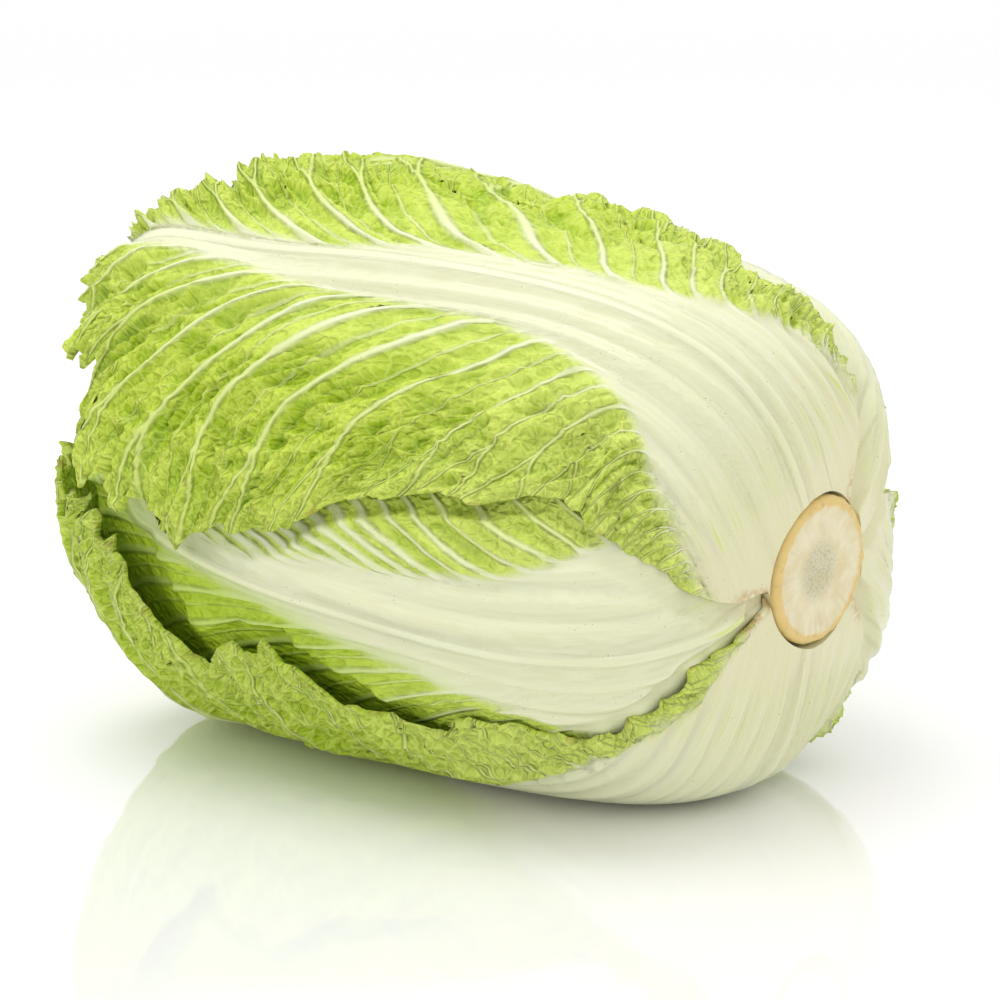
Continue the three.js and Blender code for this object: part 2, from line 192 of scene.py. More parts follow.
print(len(LEAVES), "leaves, of which", OUTER_LEAVES, "are outer ones")

# %% [markdown]
# ## From angles to places
# Every point of the cabbage is a direction from the middle of the head and a height above its
# surface. Working with whole arrays of points keeps this quick: each helper takes and returns
# numpy arrays, so all the points of a leaf, up to ninety thousand, are placed in one call.

# %% Small helpers on arrays


def ease(x):
    """A smooth step from 0 to 1."""
    t = np.clip(x, 0, 1)
    return t * t * (3 - 2 * t)


def along(pairs, x):
    """The value at x of a list of [place, value] pairs, going straight on past its ends."""
    places, values = np.array(pairs, float).T
    i = np.clip(np.searchsorted(places, x) - 1, 0, len(places) - 2)
    share = (x - places[i]) / (places[i + 1] - places[i])
    return values[i] + share * (values[i + 1] - values[i])


def sind(angle):
    return np.sin(np.radians(angle))


def cosd(angle):
    return np.cos(np.radians(angle))


def ripples(x, y, seed, count=7):
    """A smooth random surface of about unit height, whose waves are about 1 long."""
    draw = np.random.default_rng(seed)
    total = np.zeros(np.broadcast(x, y).shape)
    for _ in range(count):
        heading, phase = draw.uniform(0, 2 * math.pi, 2)
        pace = 2 * math.pi * draw.uniform(0.6, 1.4)
        total += np.sin(pace * (x * math.cos(heading) + y * math.sin(heading)) + phase)
    return total / math.sqrt(count)


def crumpled(x, y, seed):
    """A crumpled surface: 1 on sharp crests that wander and meet, falling to 0 in the hollows."""
    bent_x = x + 0.25 * ripples(x / 2, y / 2, seed + 50)
    bent_y = y + 0.25 * ripples(x / 2, y / 2, seed + 51)
    return np.clip(1 - 1.15 * np.abs(ripples(bent_x, bent_y, seed, 9)), 0, 1)


print("two ripples:", ripples(np.array([0.1, 0.6]), np.array([0.2, 0.4]), 1).round(3))

# %% Where a place on a leaf is


def lean(start):
    """How much a side vein leans toward the tip, for the place on the midrib it starts from."""
    return VEIN_LEAN * np.clip(start - VEIN_START, 0, VEIN_LEAN_END - VEIN_START)


def vein_start(a, b):
    """The start on the midrib of the vein that passes a place on the leaf."""
    start = (a + VEIN_LEAN * VEIN_START * b) / (1 + VEIN_LEAN * b)
    start = np.where(start <= VEIN_LEAN_END, start, a - lean(VEIN_LEAN_END) * b)
    return np.where(a <= VEIN_START, a, start)


def drift(leaf, a):
    return leaf.drift * ease((a - 60) / 65)


def direction_of(leaf, a, b):
    """The direction from the middle of the head to a place on a leaf."""
    side = b + drift(leaf, a)
    out = cosd(side) * sind(a)
    return np.stack([
        cosd(side) * cosd(a),
        -out * sind(leaf.turn) - sind(side) * cosd(leaf.turn),
        out * cosd(leaf.turn) - sind(side) * sind(leaf.turn),
    ], axis=-1)


@dataclass
class Place:
    """Places on a leaf: along it, across it, the vein they are on, and the leaf's edge there."""

    a: np.ndarray
    b: np.ndarray
    start: np.ndarray
    edge: np.ndarray
    side: np.ndarray


def place_on(leaf, d):
    """The places on a leaf that lie in given directions from the middle of the head."""
    out = -d[:, 1] * sind(leaf.turn) + d[:, 2] * cosd(leaf.turn)
    side = -d[:, 1] * cosd(leaf.turn) - d[:, 2] * sind(leaf.turn)
    a = np.degrees(np.arctan2(out, d[:, 0]))
    a = np.where(a < -90, a + 360, a)
    b = np.degrees(np.arcsin(np.clip(side, -1, 1))) - drift(leaf, a)
    start = vein_start(a, np.abs(b))
    edge = np.where(b > 0, along(leaf.edge_ahead, start), along(leaf.edge_behind, start))
    return Place(a, np.abs(b), start, edge, np.sign(b))


def width_at(leaf, side, start):
    """The width of a leaf on one side: cut off across its tip, and waved along its blade."""
    pairs = leaf.ahead if side > 0 else leaf.behind
    broad = along(pairs, np.minimum(start, pairs[-1][0]))
    to_tip = np.maximum(0.85 * (leaf.tip - start), 0)
    width = broad * to_tip / np.cbrt(broad**3 + to_tip**3)
    bulges = BULGES * np.cos(2 * math.pi * (start - FIRST_VEIN) / VEIN_SPACING)
    lobes = LOBES * np.cos(2 * math.pi * start / LOBE_SPACING + leaf.turn + side)
    return width * (1 + (bulges + lobes) * ease((start - 45) / 10) * ease((leaf.tip - start) / 40))


def along_row(start, b):
    """A row bends round the stem near the leaf's base, and follows a vein further on."""
    arc = np.arcsin(np.clip(sind(b) / sind(start), -0.97, 0.97))
    round_stem = np.degrees(np.arctan(np.tan(np.radians(np.minimum(start, 60))) * np.cos(arc)))
    bow = np.where(start < VEIN_START, (start - round_stem) * ease((VEIN_START - start) / 30), 0)
    return start - bow + lean(start) * b


def edge_of(leaf, side):
    """The edge of a leaf as [vein start, width] pairs, which run on past its two ends."""
    start = np.arange(STEM_ANGLE, leaf.tip, 3)
    width = width_at(leaf, side, start)
    pairs = np.stack([vein_start(along_row(start, width), width), width], axis=-1).tolist()
    first = [pairs[0][0] - 10, pairs[0][1] - 22]
    return [first, *pairs, [leaf.tip, 0], [leaf.tip + 10, -12]]


for leaf in LEAVES + HEART_TIPS:
    leaf.edge_ahead = edge_of(leaf, 1)
    leaf.edge_behind = edge_of(leaf, -1)
print("outer_leaf_1 is", round(float(width_at(LEAVES[0], 1, 80.0)), 1), "degrees wide ahead of its midrib")

# %% [markdown]
# ## Layers that never cross
# Each leaf presses the ones beneath it inward by its own thickness and a little air. A leaf
# stands free, and may ripple, only where nothing lies over it. The same rule shaped the solids,
# and it keeps the fine leaves from poking through each other.

# %% Layers, swelling and the head's surface


def rib_share(place, spread, most=180.0):
    """How much of a rib's bulge there is at a place: 1 at the midrib, 0 off the rib."""
    x = place.b / np.minimum(spread * along(RIB_HALF_WIDTH, place.start), most)
    return np.where(x < 1, (1 - x * x) ** 2, 0)


def thickness(leaf, place):
    """A rib thins out to the blade's thickness, at the latest on the leaf's edge."""
    share = 1 if leaf.outer else INNER_RIB_SHARE
    rib = rib_share(place, 1.3, np.maximum(place.edge, 1))
    return BLADE_THICKNESS + share * along(RIB_THICKNESS, place.start) * rib


def head_point(d, height):
    """Points of the head in directions d, at heights above its surface."""
    near = np.maximum(d[:, 0], 0) ** 2
    far = np.maximum(-d[:, 0], 0) ** 2
    w = d.copy()
    w[:, 1] += STEM_SIDE_SHIFT * near + TIP_SIDE_SHIFT * far
    w[:, 2] += STEM_DOWN_SHIFT * near + TIP_UP_SHIFT * far
    w /= np.linalg.norm(w, axis=1, keepdims=True)
    c = w[:, 0]
    third = 4 * c**3 - 3 * c
    across = HEAD_ROUNDNESS * (1 + 2 * TAPER * c + END_FLATTENING * (4 * c * c - 1))
    length = HEAD_HALF_LENGTH * (c - END_FLATTENING * third)
    point = np.stack([length, across * w[:, 1], across * w[:, 2]], axis=-1)
    flat = HEAD_HALF_LENGTH * (1 - 3 * END_FLATTENING * (4 * c * c - 1))
    end = HEAD_ROUNDNESS * (c + 2 * TAPER * (2 * c * c - 1) + 3 * END_FLATTENING * third)
    normal = np.stack([end, flat * w[:, 1], flat * w[:, 2]], axis=-1)
    normal /= np.linalg.norm(normal, axis=1, keepdims=True)
    return point + normal * height[:, None]


def lay(point):
    """The head lies with its stem end a little lower."""
    x, y, z = point.T
    return np.stack([
        x * cosd(HEAD_PITCH) + z * sind(HEAD_PITCH),
        y,
        z * cosd(HEAD_PITCH) - x * sind(HEAD_PITCH),
    ], axis=-1)


def cover(place, fade):
    """1 where a leaf lies over a place and a little way past its edge, then falling to 0."""
    reach = 5 + 11 * ease((34 - place.start) / 12) if fade > PRESSED_FADE else 1.2
    return ease((place.edge - place.b + reach + fade) / fade)


def gap_under(leaf, place, fade):
    """The air under a leaf: less at the margins in view, which rest on the leaf beneath."""
    if not leaf.outer:
        return INNER_LEAF_GAP
    if fade > PRESSED_FADE:
        return LEAF_GAP
    margin = MARGIN_GAP * (0.5 + 0.5 * ease((place.start - 30) / 30))
    return LEAF_GAP * (margin + (1 - margin) * ease((place.edge - place.b) / 12))


def swelling(d):
    """The swelling all layers share, and how clear of the floor a place is."""
    total = np.zeros(len(d))
    for leaf in LEAVES[:OUTER_LEAVES]:
        place = place_on(leaf, d)
        rise = ease((105 - place.a) / 40) * ease((place.a - 8) / 20)
        total += RIB_BULGE * rib_share(place, 1.5) * rise
    above = lay(head_point(d, total))[:, 2] + FLOOR_BELOW_AXIS
    sunk = SETTLING - np.minimum(above, SETTLING)
    pushed = np.where(above > -SETTLING, sunk**2 / (4 * SETTLING), -above)
    return total - pushed, ease((above - 1) / 12)


def under(layer, d, fade):
    """How far below the surface a layer lies, and how much of it is in view."""
    depth = np.zeros(len(d))
    view = np.ones(len(d))
    for leaf in LEAVES[:layer]:
        place = place_on(leaf, d)
        covered = cover(place, fade)
        depth += covered * (thickness(leaf, place) + gap_under(leaf, place, fade))
        view *= (1 - covered) ** 3
    return depth, view


print("the head's surface is", round(2 * HEAD_HALF_LENGTH * (1 - END_FLATTENING), 1), "mm long")

# %% [markdown]
# ## From the head's own axes to the frame
# The head's middle isn't the frame's origin. The cut stem's solid shows where it is: its box in
# the frame is compared with the box that the same stem has round the head's middle.

# %% Find the head's middle in the frame
STEM_PROFILE = [
    [STEM_FACE_X, 15.8],
    [STEM_FACE_X - 0.3, 17.7],
    [STEM_FACE_X - 1.4, STEM_RADIUS],
    [STEM_FACE_X - 12, STEM_RADIUS - 1.5],
    [STEM_INNER_X, STEM_RADIUS - 4.4],
]
rim = lay(np.array([[x, STEM_Y, STEM_Z + s * r] for x, r in STEM_PROFILE for s in (-1, 1)]))
stem_low, stem_high = (np.array(corner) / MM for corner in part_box("cut_stem"))
shift = np.array([
    (stem_low + stem_high)[0] - rim[:, 0].min() - rim[:, 0].max(),
    (stem_low + stem_high)[1] - 2 * STEM_Y,
    (stem_low + stem_high)[2] - rim[:, 2].min() - rim[:, 2].max(),
]) / 2


def to_frame(point):
    """Points round the head's middle, in millimetres, as places in the frame, in metres."""
    placed = lay(point) + shift
    placed[:, 2] = np.maximum(placed[:, 2], 0)
    return placed * MM


print("the head's middle is at", shift.round(2), "mm")

# %% [markdown]
# ## Veins that leave the rib like rivers
# In the white rib, strands run side by side toward the tip. One after another they bend out of
# it and become the side veins, so one family of lines serves both: inside the rib a line keeps
# its distance from the midrib, and where the rib has narrowed to that distance it turns out into
# the blade. Midway, a weaker vein runs between each two, and near the margin they fork. The leaf
# across the front differs on its upper side: its veins leave the rib more steeply and are wider,
# and those between them are as strong.

# %% Vein lines
TURN_OUT = 4
TURN_OUT_REACH = 3.6
STEEP_LEAF = "outer_leaf_4"
STEEP_TURN_OUT = 11
STEEP_REACH = 9
WANDER = 0.8
SPARSE_FROM = 96
SPARSE_SHARE = 0.6


def white_width(leaf, place):
    """The half width of the white rib at each place, on the place's own side."""
    ahead, behind = leaf.white_ahead or WHITE, leaf.white_behind or WHITE
    return np.where(place.side > 0, along(ahead, place.a), along(behind, place.a))


def strand_end(pairs, b):
    """How far along the leaf the rib has narrowed to b, past the place where it is widest."""
    widest = max(range(len(pairs)), key=lambda i: pairs[i][1])
    falling = [[width, start] for start, width in reversed(pairs[widest:])]
    return along(falling, np.clip(b, 0.8, pairs[widest][1]))


def vein_line(leaf, place, seed):
    """The vein line through each place, as the start on the midrib of its straight part."""
    turn_out, reach = TURN_OUT, TURN_OUT_REACH
    if leaf.name == STEEP_LEAF:
        turn_out, reach = STEEP_TURN_OUT, STEEP_REACH
    rib = white_width(leaf, place)
    ahead, behind = leaf.white_ahead or WHITE, leaf.white_behind or WHITE
    ends = np.where(place.side > 0, strand_end(ahead, place.b), strand_end(behind, place.b))
    leaves_at = np.where(place.b < rib, np.maximum(ends, place.a), place.a)
    past = np.maximum(place.b - rib, 0)
    line = vein_start(leaves_at + turn_out * np.exp(-past / reach), place.b)
    line = line + WANDER * ripples(place.start / 24, place.b / 34, seed) * ease((past + 2) / 6)
    return np.minimum(line, SPARSE_FROM + SPARSE_SHARE * (line - SPARSE_FROM))


def ridge(line, spacing, first, half_width):
    """1 on each line of a family of lines, falling smoothly to 0 at half_width from it."""
    off = np.abs((line - first + spacing / 2) % spacing - spacing / 2)
    return 1 - ease(off / half_width)


def forked(line, spacing, first, half_width, fork):
    """The same, where each line splits in two that lie a distance fork to its either side."""
    off = np.abs(np.abs((line - first + spacing / 2) % spacing - spacing / 2) - fork)
    return 1 - ease(off / half_width)


print("a strand 8 degrees off the midrib leaves it at", round(float(strand_end(WHITE, 8.0)), 1), "degrees")

# %% [markdown]
# ## What each place on a leaf is
# Both the relief and the colour of a leaf ask the same things of a place: is it on a vein, in a
# pocket, on the rib, near the margin. The answers are worked out once, as marks from 0 to 1 or
# as angles, and the mesh carries them to its material.

# %% Marks of a leaf
MM_PER_DEGREE = 1.57
STEEP_WIDTH = 1.3
LOW_WIDTH = 0.65
WEAK_VEIN = 0.45
SMALLEST_VEIN = 1.1
VEIN_SLOPE = 0.5
FORK = 1.3
CREASE_FROM_VEIN = 1.3
CRUMPLE_LENGTH = 13
CRUMPLE_WIDTH = 8
WRINKLE_LENGTH = 4.6
WRINKLE_WIDTH = 4.2
MIDWAY = FIRST_VEIN + VEIN_SPACING / 2


def shade_of(leaf, place, past_white):
    """Where a leaf lies in the green shade of its neighbours: at its tip and its lower blade."""
    if leaf.name != STEEP_LEAF:
        return np.zeros(len(place.a))
    low = ease((place.a - 55) / 40) * ease((past_white + 5) / 7)
    return np.maximum(ease((place.a - 92) / 38), np.where(place.side > 0, low, 0))


def leaf_marks(leaf, place, seed):
    """Everything about places on a leaf that both its relief and its colour need."""
    out = np.clip(place.b / np.maximum(place.edge, 1), 0, 1.1)
    past_white = (place.b - white_width(leaf, place)) / (1 + 1.2 * ease((42 - place.a) / 16))
    line = vein_line(leaf, place, seed)
    fork = FORK * ease((out - 0.7) / 0.3)
    width = (0.55 + 0.45 * ease((line - 62) / 20)) * (1.35 - 0.95 * ease(out))
    steep = (place.side < 0) & (leaf.name == STEEP_LEAF)
    width *= np.where(steep, STEEP_WIDTH, LOW_WIDTH if leaf.name == FLARED_LEAF else 1)
    reach = np.maximum(width, SMALLEST_VEIN) + VEIN_SLOPE
    main = forked(line, VEIN_SPACING, FIRST_VEIN, reach, fork)
    main *= (1 - 0.5 * ease((out - 0.55) / 0.45)) * (0.5 + 0.5 * ease((line - 55) / 25))
    between = forked(line, VEIN_SPACING, MIDWAY, reach, fork)
    crease = ridge(line, 2 * VEIN_SPACING, FIRST_VEIN + VEIN_SPACING - CREASE_FROM_VEIN, 1.0)
    return {
        "out": out,
        "past_white": past_white,
        "blade": ease((past_white + 1.5) / 4),
        "line": line,
        "fork": fork,
        "vein_width": width,
        "main": np.where(steep, np.maximum(main, 0.8 * between), main),
        "second": np.where(steep, 1, np.maximum(WEAK_VEIN, 0.9 * ease((68 - line) / 12))),
        "strand": ridge(line, VEIN_SPACING / 2, FIRST_VEIN, 1.7),
        "crumple": crumpled(
            place.b * MM_PER_DEGREE / CRUMPLE_LENGTH, line * MM_PER_DEGREE / CRUMPLE_WIDTH, seed + 2),
        "wrinkle": crumpled(
            place.b * MM_PER_DEGREE / WRINKLE_LENGTH, place.a * MM_PER_DEGREE / WRINKLE_WIDTH, seed + 4),
        "crease": crease * ease((out - 0.4) / 0.3),
        "shaded": shade_of(leaf, place, past_white),
        "netted": np.full(len(out), float(leaf.name == FLARED_LEAF)),
    }


print("crumples are about", CRUMPLE_LENGTH, "mm long and wrinkles", WRINKLE_LENGTH, "mm")

# %% [markdown]
# ## The relief of a leaf
# The outer face of a cabbage leaf is its underside, so veins stand out and the blade between
# them sinks into pockets. The relief is the sum of a few parts: the free waves and soft folds of
# the blade, strands and veins, the pockets, and a frill that grows toward the margin. What lifts
# the whole blade goes to both its faces, and what is only raised goes to the outer one.

# %% Relief of a leaf
STRAND_HEIGHT = 0.3
RIDGE_HEIGHT = 0.7
RIDGE_SPACING = 4.4
CRUMPLE_HEIGHT = 2.6
CRUMPLE_LIFT = 0.6
WRINKLE_HEIGHT = 0.8
MAIN_VEIN_HEIGHT = 1.1
FRILL_HEIGHT = 2.0
FRILL_SPACING = 5.3
CREASE_DEPTH = 1.3
FOLD_HEIGHT = 2.2
FOLD_WIDTH = 9
FOLD_LENGTH = 38


def free_waves(leaf, place, out, seed):
    """The waves of a leaf's rim, and the leaves that stand off the head further on."""
    start = place.start
    tips = ease((start - 45) / 15)
    slow = np.cos(2 * math.pi * start / LOBE_SPACING + leaf.turn + place.side)
    lift = leaf.ruffle * ease((out - 0.55) / 0.45) * (0.55 + 0.45 * slow) * tips
    if leaf.name == FLARED_LEAF:
        flare = FLARE * ease((place.a - 95) / 50) * ease((out - 0.3) / 0.7)
        lift += np.where(place.side < 0, flare, 0)
    if leaf.name == FREE_TIP_LEAF:
        lift += FREE_TIP_LIFT * ease((place.a - 102) / 40)
    pace = 2 * math.pi * start / FRILL_SPACING + 2 * ripples(start / 14, 0.0, seed + 3)
    frill = 0.5 + 0.35 * np.sin(pace) + 0.15 * np.sin(2.3 * pace + 1)
    return lift + FRILL_HEIGHT * frill * ease((out - 0.72) / 0.28) * tips * ease((leaf.tip - start) / 12)


def soft_folds(place, marks, seed):
    """Broad folds of the blade, which run beside its veins."""
    fold = ease(0.5 + 0.9 * ripples(marks["line"] / FOLD_WIDTH, place.b / FOLD_LENGTH, seed + 8))
    flatter = ease((marks["out"] - 0.12) / 0.3) * (1 - 0.4 * ease((marks["out"] - 0.8) / 0.2))
    return FOLD_HEIGHT * fold * marks["blade"] * flatter


def rib_ridges(place, marks, seed):
    """The strands and the broader ridges that run along the white rib."""
    fade = ease((place.a - 9) / 16) * ease((150 - place.a) / 60)
    bend = 0.3 * ripples(place.a / 50, place.b / 14, seed + 6)
    broad = np.cos(2 * math.pi * (place.b / RIDGE_SPACING + bend))
    height = STRAND_HEIGHT * (marks["strand"] - 0.5) + RIDGE_HEIGHT * broad
    return height * (1 - marks["blade"]) * fade


def relief(leaf, place, marks, seed):
    """The waves of both faces of a leaf, and the ridges on its outer face."""
    out, blade = marks["out"], marks["blade"]
    crumple = CRUMPLE_HEIGHT * (marks["crumple"] - 0.4) + WRINKLE_HEIGHT * (marks["wrinkle"] - 0.4)
    crumple *= blade * (0.5 + 0.5 * ease((out - 0.25) / 0.4)) * (1 - 0.85 * marks["main"])
    crease = blade * CREASE_DEPTH / 2 * marks["crease"]
    lift = free_waves(leaf, place, out, seed) + soft_folds(place, marks, seed)
    lift += CRUMPLE_LIFT * crumple - crease
    wave = 0.5 + 0.5 * np.cos(2 * math.pi * (marks["line"] - FIRST_VEIN) / VEIN_SPACING)
    veins = blade * (0.6 * VEIN_HEIGHT * wave + MAIN_VEIN_HEIGHT * marks["main"]) - crease
    crown = RIB_BULGE * rib_share(place, 1.1) * ease((115 - place.start) / 30)
    return lift, veins + (1 - CRUMPLE_LIFT) * crumple + rib_ridges(place, marks, seed) + crown


print("a fold is up to", FOLD_HEIGHT, "mm high")

# %% [markdown]
# ## One leaf, from a flat sheet
# A leaf starts as a grid, as by hand. Solidify gives it a second face and closes its rim, and
# then each point of the flat sheet is carried to its place on the head: its two coordinates say
# how far along and how far across the leaf it is, and its height which of the two faces it is on.
# Sculpting would give one leaf more life, but ten leaves that fit each other need a rule.

# %% Helpers on meshes
SHEET_DEPTH = 0.1
MERGE_DISTANCE = 0.002
SMOOTH_ANGLE = 75


def deselect_all():
    bpy.ops.object.select_all(action="DESELECT")


def closed_sheet(name, rows, columns):
    """A flat grid, 2 by 2, with a second face under it and a closed rim."""
    deselect_all()
    bpy.ops.mesh.primitive_grid_add(x_subdivisions=columns, y_subdivisions=rows, size=2)
    sheet = bpy.context.object
    sheet.name = name
    sheet.data.name = name
    wall = sheet.modifiers.new("wall", "SOLIDIFY")
    wall.thickness = SHEET_DEPTH
    wall.offset = -1
    bpy.ops.object.modifier_apply(modifier=wall.name)
    return sheet


def points_of(piece):
    flat = np.zeros(3 * len(piece.data.vertices))
    piece.data.vertices.foreach_get("co", flat)
    return flat.reshape(-1, 3)


def set_points(piece, points):
    piece.data.vertices.foreach_set("co", points.astype(np.float32).ravel())
    piece.data.update()


def set_mark(piece, name, values):
    """Stores a number, or a vector, at each point for the material to read."""
    vector = values.ndim == 2
    mark = piece.data.attributes.new(name, "FLOAT_VECTOR" if vector else "FLOAT", "POINT")
    mark.data.foreach_set("vector" if vector else "value", values.astype(np.float32).ravel())


def close_up(piece):
    """Merges the points that met at a leaf's tip, and turns all faces outward."""
    deselect_all()
    piece.select_set(True)
    bpy.context.view_layer.objects.active = piece
    bpy.ops.object.mode_set(mode="EDIT")
    bpy.ops.mesh.select_all(action="SELECT")
    bpy.ops.mesh.remove_doubles(threshold=MERGE_DISTANCE * MM)
    bpy.ops.mesh.normals_make_consistent(inside=False)
    bpy.ops.object.mode_set(mode="OBJECT")
    bpy.ops.object.shade_smooth_by_angle(angle=math.radians(SMOOTH_ANGLE))


print("faces that meet at less than", SMOOTH_ANGLE, "degrees are shaded smooth")

# %% Make a leaf
MARGIN_THICKNESS = 0.45
JAG = 0.014
TIP_JAG = 0.022
INNER_FACE_HEIGHT = 0.8
KEPT_MARKS = [
    "out", "past_white", "line", "fork", "vein_width", "second", "strand", "crumple", "wrinkle",
    "crease", "shaded", "netted",
]


def jagged(leaf, start, side):
    """The fine irregular teeth of a leaf's margin, as a share of its width."""
    seed = int(leaf.turn) + 40
    teeth = ripples(start / 3.4, side, seed) + 0.6 * ripples(start / 1.7, side, seed + 1)
    height = JAG + TIP_JAG * ease((start - 75) / 30)
    return 1 + height * teeth * ease((start - 20) / 20) * ease((leaf.tip - start) / 20)


def spread(leaf, across, share):
    """The directions in which a flat sheet's points lie once it is a leaf."""
    start = STEM_ANGLE + (leaf.tip - STEM_ANGLE) * (share + 1) / 2
    side = np.where(across < 0, -1.0, 1.0)
    width = np.where(side > 0, width_at(leaf, 1, start), width_at(leaf, -1, start))
    b = np.abs(across) * width * jagged(leaf, start, side)
    return direction_of(leaf, along_row(start, b), side * b)


def set_leaf_marks(piece, place, marks):
    """Gives a leaf's mesh what its material reads, with its textures' places in millimetres."""
    along_leaf, across_leaf = place.a * MM_PER_DEGREE, place.side * place.b * MM_PER_DEGREE
    set_mark(piece, "leaf_place", np.stack([along_leaf, across_leaf, np.zeros(len(along_leaf))], axis=-1))
    strand_place = [place.a * 0.055, marks["line"] * MM_PER_DEGREE * 0.9, across_leaf * 0.25]
    set_mark(piece, "by_strand", np.stack(strand_place, axis=-1))
    set_mark(piece, "along", place.a)
    for name in KEPT_MARKS:
        set_mark(piece, name, marks[name])


def make_leaf(index, rows, columns):
    """One leaf, as a closed mesh that lies on the leaves after it and under those before it."""
    leaf = LEAVES[index]
    seed = 100 * (index + 1)
    piece = closed_sheet(leaf.name + "_blade", rows, columns)
    across, share, face = points_of(piece).T
    inner = face < -SHEET_DEPTH / 2
    d = spread(leaf, across, share)
    place = place_on(leaf, d)
    depth, view = under(index, d, PRESSED_FADE if leaf.outer else INNER_PRESSED_FADE)
    swell, clear = swelling(d)
    marks = leaf_marks(leaf, place, seed)
    lift, ridges = relief(leaf, place, marks, seed)
    free = clear * view
    top = swell - depth + free * lift
    rim = ease((np.abs(across) - 0.9) / 0.1) * ease((place.start - 40) / 10)
    wall = thickness(leaf, place) - rim * (BLADE_THICKNESS - MARGIN_THICKNESS)
    points = to_frame(head_point(d, np.where(inner, top - wall, top + free * ridges)))
    points[inner, 2] = np.maximum(points[inner, 2], INNER_FACE_HEIGHT * MM)
    set_points(piece, points)
    set_leaf_marks(piece, place, marks)
    close_up(piece)
    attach(piece, "root")
    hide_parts(leaf.name)
    print(piece.name, len(piece.data.polygons), "faces")
    return piece


leaf_pieces = []
GRIDS = [(250, 180), (240, 180), (200, 130), (220, 160), (200, 130)]
for index, (rows, columns) in enumerate(GRIDS):
    leaf_pieces.append(make_leaf(index, rows, columns))

# %% The inner leaves
INNER_GRID = (130, 90)
for index in range(OUTER_LEAVES, len(LEAVES)):
    leaf_pieces.append(make_leaf(index, *INNER_GRID))

# %% [markdown]
# ## The heart
# Between the tips of the inner leaves the next ones show, folded tight. A ball with as many
# rings as its creases need is pressed to shape by the same rule as the leaves.

# %% Make the heart
HEART_TIP_HEIGHT = 1.8
HEART_CLEARANCE = 3.6
HEART_RIPPLES = 0.8
GAP_TO_STEM = 0.4
deselect_all()
bpy.ops.mesh.primitive_uv_sphere_add(segments=96, ring_count=80, radius=1, rotation=(0, math.pi / 2, 0))
bpy.ops.object.transform_apply(rotation=True)
heart = bpy.context.object
heart.name = "heart_bud"
heart.data.name = "heart_bud"
d = points_of(heart)
d /= np.linalg.norm(d, axis=1, keepdims=True)
swell, clear = swelling(d)
depth, view = under(len(LEAVES), d, HEART_PRESSED_FADE)
height = swell - depth - HEART_CLEARANCE
polar = np.degrees(np.arccos(np.clip(d[:, 0], -1, 1)))
end = ease((polar - 100) / 30)
for leaf in HEART_TIPS:
    place = place_on(leaf, d)
    height += HEART_TIP_HEIGHT * ease((place.edge - place.b) / 4 + 0.5) * end
height += HEART_RIPPLES * end * ripples(d[:, 1] * 9, d[:, 2] * 9, 7)
points = head_point(d, height)
points[:, 0] = np.minimum(points[:, 0], STEM_INNER_X - GAP_TO_STEM)
set_points(heart, to_frame(points))
close_up(heart)
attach(heart, "root")
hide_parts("heart")
print(heart.name, len(heart.data.polygons), "faces")

# %% [markdown]
# ## The cut stem
# One knife stroke cut the stem across. Its skin dried to a tan rim that stands a little proud,
# and the soft middle sank. A circle is filled and inset ring by ring, and extruding its outer
# edge back makes the wall, one step for each ring. Then each ring is moved to its own radius and
# depth, and all of them are worn a little uneven.

# %% Make the cut stem
STEM_SPOKES = 128
FACE_INSET = 0.15
FACE_UNEVENNESS = 0.18
RIM_UNEVENNESS = 0.12
ROUNDNESS_ERROR = 0.008
FACE_RINGS = [
    [18.2, -0.25], [17.5, 0.05], [16.8, 0.15], [16, 0.0], [14.8, -0.3], [13, -0.45],
    [10.5, -0.55], [8, -0.7], [6.2, -0.85], [4.4, -1.0], [2.6, -1.1], [1.1, -1.15],
]
WALL_RINGS = [[18.8, -1], [18.7, -3], [18.3, -6], [17.3, -12], [16, -26], [14.4, -40.2]]
deselect_all()
bpy.ops.mesh.primitive_circle_add(vertices=STEM_SPOKES, radius=FACE_RINGS[0][0], fill_type="NGON")
stem = bpy.context.object
stem.name = "stem_core"
stem.data.name = "stem_core"
bpy.ops.object.mode_set(mode="EDIT")
bpy.ops.mesh.select_mode(type="FACE")
bpy.ops.mesh.select_all(action="SELECT")
for (outer, _), (radius, _) in zip(FACE_RINGS, FACE_RINGS[1:]):
    bpy.ops.mesh.inset(thickness=outer - radius, depth=0)
bpy.ops.mesh.poke()
bpy.ops.object.mode_set(mode="OBJECT")
bpy.ops.object.mode_set(mode="EDIT")
bpy.ops.mesh.select_mode(type="EDGE")
bpy.ops.mesh.select_all(action="DESELECT")
bpy.ops.mesh.select_non_manifold()
for _ in WALL_RINGS:
    bpy.ops.mesh.extrude_region_move(TRANSFORM_OT_translate={"value": (0, 0, -1)})
bpy.ops.mesh.edge_face_add()
bpy.ops.object.mode_set(mode="OBJECT")
print("a disc of", len(FACE_RINGS), "rings and a wall of", len(WALL_RINGS))

